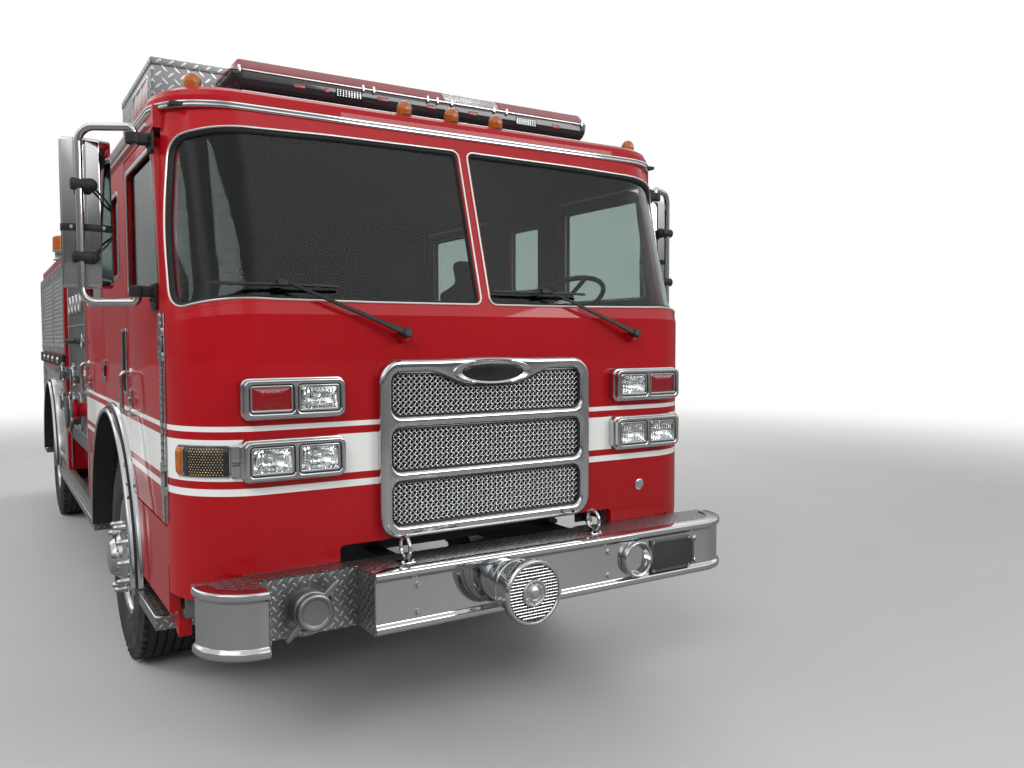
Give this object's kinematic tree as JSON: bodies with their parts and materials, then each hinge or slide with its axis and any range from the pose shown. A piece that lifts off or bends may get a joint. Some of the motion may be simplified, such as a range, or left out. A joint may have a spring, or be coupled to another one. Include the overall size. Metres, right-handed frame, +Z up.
{
  "type": "fire engine",
  "caption": "Red custom-cab fire engine with a bright bumper, siren and air horn, opening cab doors, steering front wheels, folding mirrors, wipers, pump house and compartment body.",
  "frame": {"origin": "on the ground at the centre of the bounding box's base", "axes": "+X to the driver's side (the vehicle's left), +Y to the rear, +Z up; the front faces -Y"},
  "size_m": [3.046, 8.07, 2.842],
  "materials": {
    "body_red": "deep red gloss enamel",
    "chassis_black": "black chassis paint",
    "chrome": "bright plated steel",
    "treadplate": "bright raised-bar plate",
    "polished_aluminium": "polished",
    "satin_aluminium": "satin slats",
    "cast_grey": "dull cast fitting",
    "black_plastic": "black moulding",
    "grey_trim": "grey cab lining",
    "seat_cloth": "dark woven cloth",
    "dark_mesh": "punched sheet",
    "window_glass": "tinted",
    "clear_lens": "clear lens over a reflector",
    "red_lens": "red transparent lens",
    "amber_lens": "amber transparent lens",
    "tyre_rubber": "ribbed tread",
    "pump_panel": "dark textured panel"
  },
  "bodies": {
    "root": {"frame_rails": "chassis_black", "front_axle": "chassis_black", "rear_axle": "chassis_black", "drivetrain": "chassis_black", "bumper": "chrome", "bumper_deck": "treadplate", "suction_inlet": "cast_grey", "tow_eyes": "chrome", "siren": "polished_aluminium", "air_horn": "chrome", "speaker": "black_plastic", "cab_front": "body_red", "windshield_frame": "body_red", "windshield": "window_glass", "cab_roof": "body_red", "bright_rails": "polished_aluminium", "cab_floor": "grey_trim", "wheel_liners": "black_plastic", "cab_back": "body_red", "cab_side_left": "body_red", "cab_side_right": "body_red", "side_windows": "window_glass", "grille_surround": "chrome", "grille_mesh": "dark_mesh", "lamp_bezels": "chrome", "lamp_lenses": "clear_lens", "amber_lamps": "amber_lens", "light_bar": "black_plastic", "red_lenses": "red_lens", "roof_box": "treadplate", "dashboard": "grey_trim", "seats": "seat_cloth", "fenders": "chrome", "steps": "treadplate", "pump_house": "pump_panel", "body": "body_red", "side_panels": "satin_aluminium"},
    "front_door_left": {"front_door_left": "body_red", "front_glass_left": "window_glass"},
    "crew_door_left": {"crew_door_left": "body_red", "crew_glass_left": "window_glass"},
    "mirror_left": {"mirror_left": "chrome"},
    "wiper_left": {"wiper_left": "black_plastic"},
    "knuckle_left": {"knuckle_left": "chassis_black"},
    "front_wheel_left": {"front_tyre_left": "tyre_rubber", "front_rim_left": "polished_aluminium"},
    "rear_wheels_left": {"rear_tyres_left": "tyre_rubber", "rear_rims_left": "polished_aluminium"},
    "front_door_right": {"front_door_right": "body_red", "front_glass_right": "window_glass"},
    "crew_door_right": {"crew_door_right": "body_red", "crew_glass_right": "window_glass"},
    "mirror_right": {"mirror_right": "chrome"},
    "wiper_right": {"wiper_right": "black_plastic"},
    "knuckle_right": {"knuckle_right": "chassis_black"},
    "front_wheel_right": {"front_tyre_right": "tyre_rubber", "front_rim_right": "polished_aluminium"},
    "rear_wheels_right": {"rear_tyres_right": "tyre_rubber", "rear_rims_right": "polished_aluminium"},
    "steering_wheel": {"steering_wheel": "black_plastic"}
  },
  "joints": [
    {"name": "front_door_left_hinge", "type": "hinge", "parent": "root", "child": "front_door_left", "pos_m": [1.23, -3.264, 1.6], "axis": [0, 0, 1], "range_deg": [-75, 0]},
    {"name": "crew_door_left_hinge", "type": "hinge", "parent": "root", "child": "crew_door_left", "pos_m": [1.23, -1.549, 1.6], "axis": [0, 0, 1], "range_deg": [-75, 0]},
    {"name": "mirror_left_fold", "type": "hinge", "parent": "front_door_left", "child": "mirror_left", "pos_m": [1.285, -3.145, 2.1], "axis": [0, 0, 1], "range_deg": [-50, 10]},
    {"name": "knuckle_left_steer", "type": "hinge", "parent": "root", "child": "knuckle_left", "pos_m": [0.84, -1.865, 0.53], "axis": [0, 0, 1], "range_deg": [-35, 35]},
    {"name": "front_wheel_left_spin", "type": "hinge", "parent": "knuckle_left", "child": "front_wheel_left", "pos_m": [1.045, -1.865, 0.53], "axis": [1, 0, 0], "continuous": true},
    {"name": "rear_wheels_left_spin", "type": "hinge", "parent": "root", "child": "rear_wheels_left", "pos_m": [0.8825, 2.435, 0.53], "axis": [1, 0, 0], "continuous": true},
    {"name": "wiper_left_sweep", "type": "hinge", "parent": "root", "child": "wiper_left", "pos_m": [0.757, -3.589, 1.66158], "axis": [0, -0.9563, 0.2924], "range_deg": [-85, 0]},
    {"name": "front_door_right_hinge", "type": "hinge", "parent": "root", "child": "front_door_right", "pos_m": [-1.23, -3.264, 1.6], "axis": [0, 0, 1], "range_deg": [0, 75]},
    {"name": "crew_door_right_hinge", "type": "hinge", "parent": "root", "child": "crew_door_right", "pos_m": [-1.23, -1.549, 1.6], "axis": [0, 0, 1], "range_deg": [0, 75]},
    {"name": "mirror_right_fold", "type": "hinge", "parent": "front_door_right", "child": "mirror_right", "pos_m": [-1.285, -3.145, 2.1], "axis": [0, 0, 1], "range_deg": [-10, 50]},
    {"name": "knuckle_right_steer", "type": "hinge", "parent": "root", "child": "knuckle_right", "pos_m": [-0.84, -1.865, 0.53], "axis": [0, 0, 1], "range_deg": [-35, 35]},
    {"name": "front_wheel_right_spin", "type": "hinge", "parent": "knuckle_right", "child": "front_wheel_right", "pos_m": [-1.045, -1.865, 0.53], "axis": [1, 0, 0], "continuous": true},
    {"name": "rear_wheels_right_spin", "type": "hinge", "parent": "root", "child": "rear_wheels_right", "pos_m": [-0.8825, 2.435, 0.53], "axis": [1, 0, 0], "continuous": true},
    {"name": "wiper_right_sweep", "type": "hinge", "parent": "root", "child": "wiper_right", "pos_m": [-0.393, -3.589, 1.66158], "axis": [0, -0.9563, 0.2924], "range_deg": [-85, 0]},
    {"name": "steering_wheel_turn", "type": "hinge", "parent": "root", "child": "steering_wheel", "pos_m": [0.85, -2.925, 1.85], "axis": [0, 0.5, 0.866], "range_deg": [-525, 525]}
  ],
  "couplings": [
    {"joint": "knuckle_right_steer", "follows": "knuckle_left_steer", "ratio": 1},
    {"joint": "steering_wheel_turn", "follows": "knuckle_left_steer", "ratio": 15},
    {"joint": "wiper_right_sweep", "follows": "wiper_left_sweep", "ratio": 1}
  ]
}
